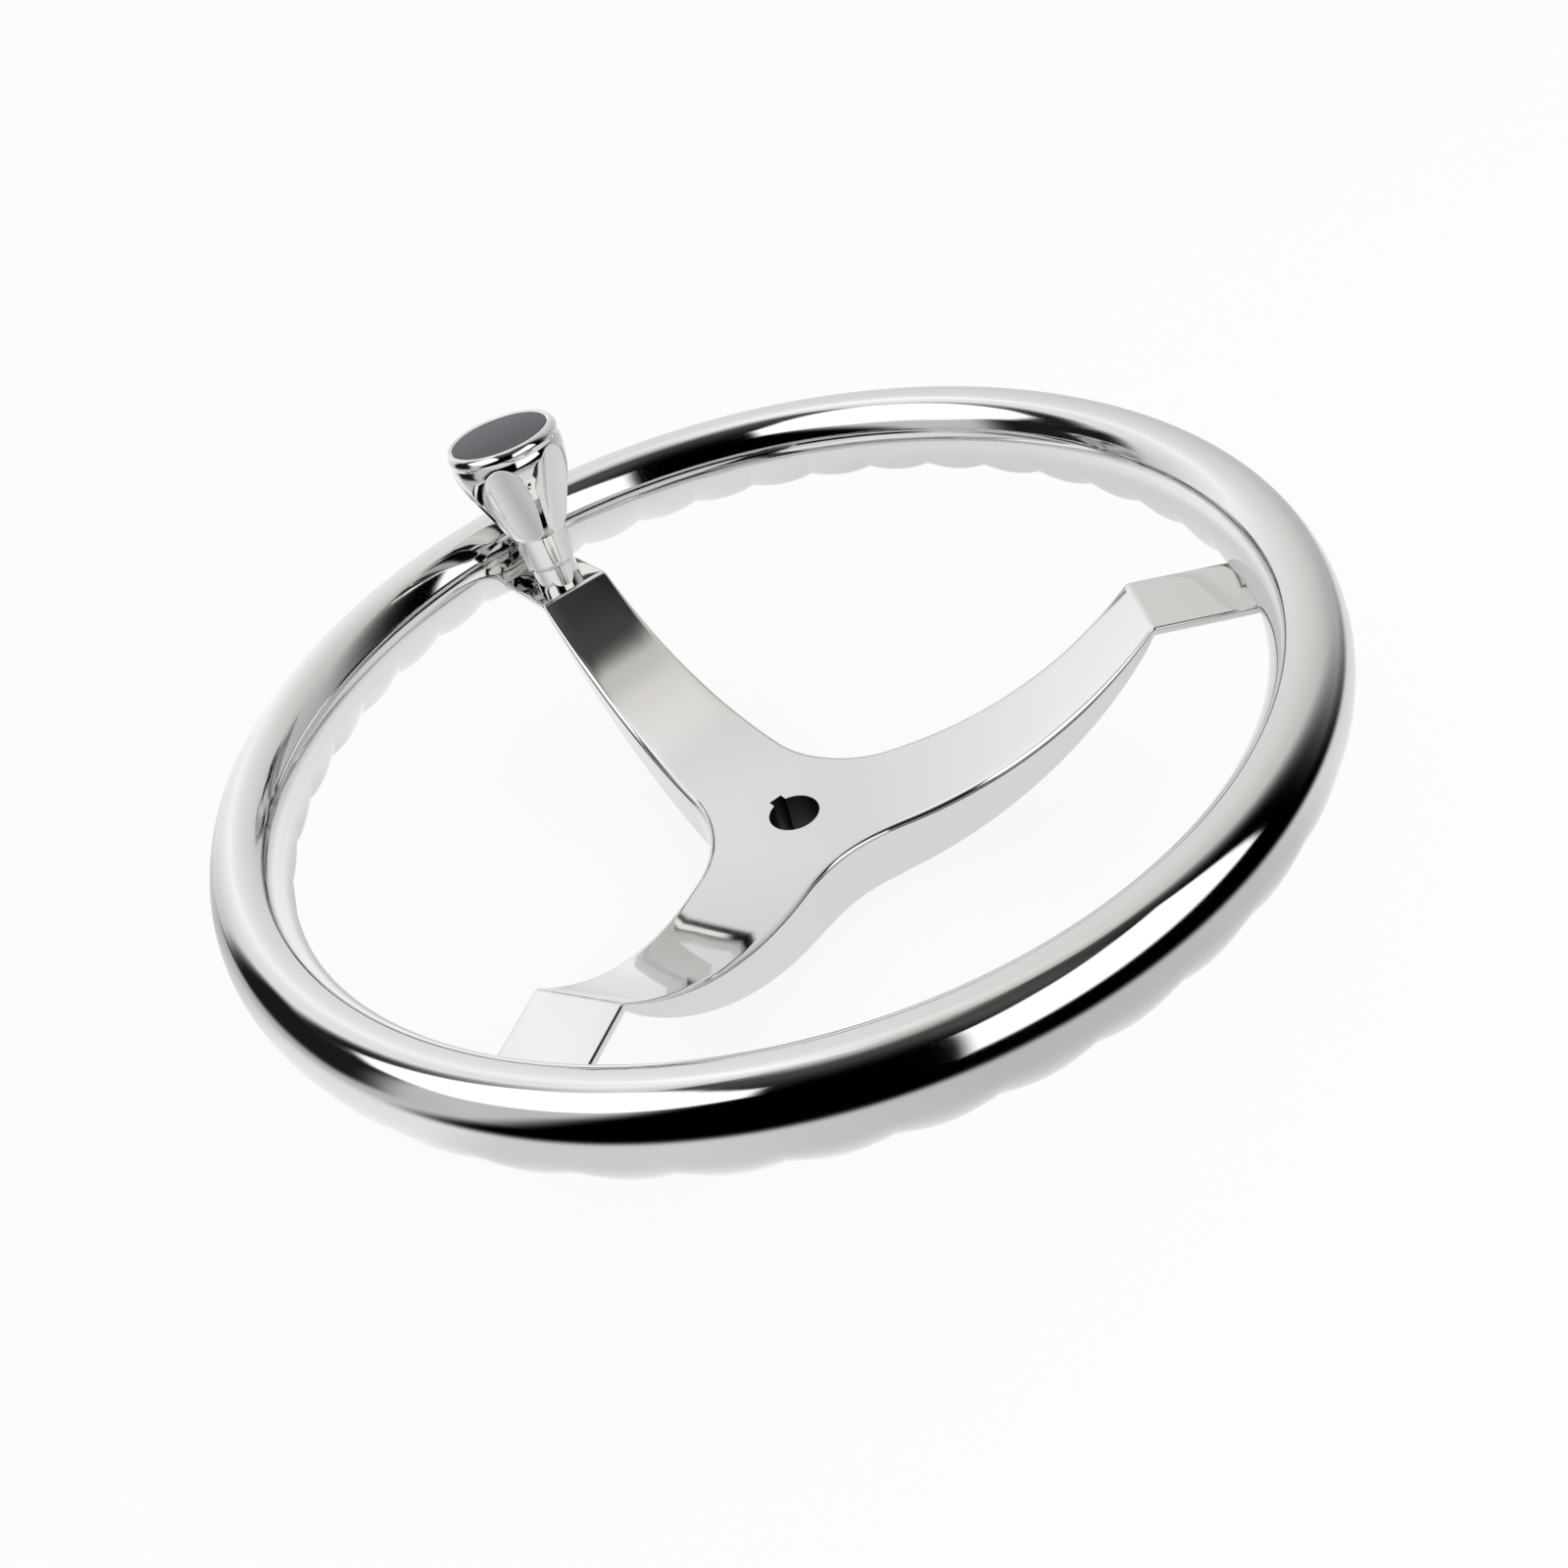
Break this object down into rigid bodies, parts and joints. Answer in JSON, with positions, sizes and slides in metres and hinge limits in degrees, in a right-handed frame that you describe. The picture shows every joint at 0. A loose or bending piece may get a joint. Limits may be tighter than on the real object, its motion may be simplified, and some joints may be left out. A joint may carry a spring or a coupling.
{
  "type": "stainless boat steering wheel",
  "caption": "Dished steering wheel of polished stainless with an oval finger-grip rim, pressed spokes, a tapered keyed hub and a fluted spinner knob on one spoke.",
  "frame": {"origin": "centre of the hub's back face, on the shaft's axis", "axes": "+Z along the shaft towards the helmsman, +Y along the spoke that carries the knob"},
  "size_m": [0.3428, 0.343, 0.1299],
  "materials": {
    "polished_steel": "mirror polished",
    "turned_steel": "fine turned",
    "fastener_steel": "plain stainless",
    "bearing_plastic": "natural acetal",
    "dark_insert": "satin"
  },
  "bodies": {
    "wheel": {"rim": "polished_steel", "spoke_plate": "polished_steel", "hub": "turned_steel", "knob_post": "polished_steel", "post_screw": "fastener_steel", "post_lock_washer": "fastener_steel", "thrust_washer": "bearing_plastic", "knob_retaining_washer": "fastener_steel", "knob_retaining_screw": "fastener_steel"},
    "knob": {"knob_body": "polished_steel", "knob_insert": "dark_insert", "lower_bush": "bearing_plastic", "upper_bush": "bearing_plastic"}
  },
  "joints": [
    {"name": "knob_spin", "type": "hinge", "parent": "wheel", "child": "knob", "pos_m": [0, 0.1315, 0.09086], "axis": [0, 0.0698, 0.9976], "continuous": true}
  ]
}
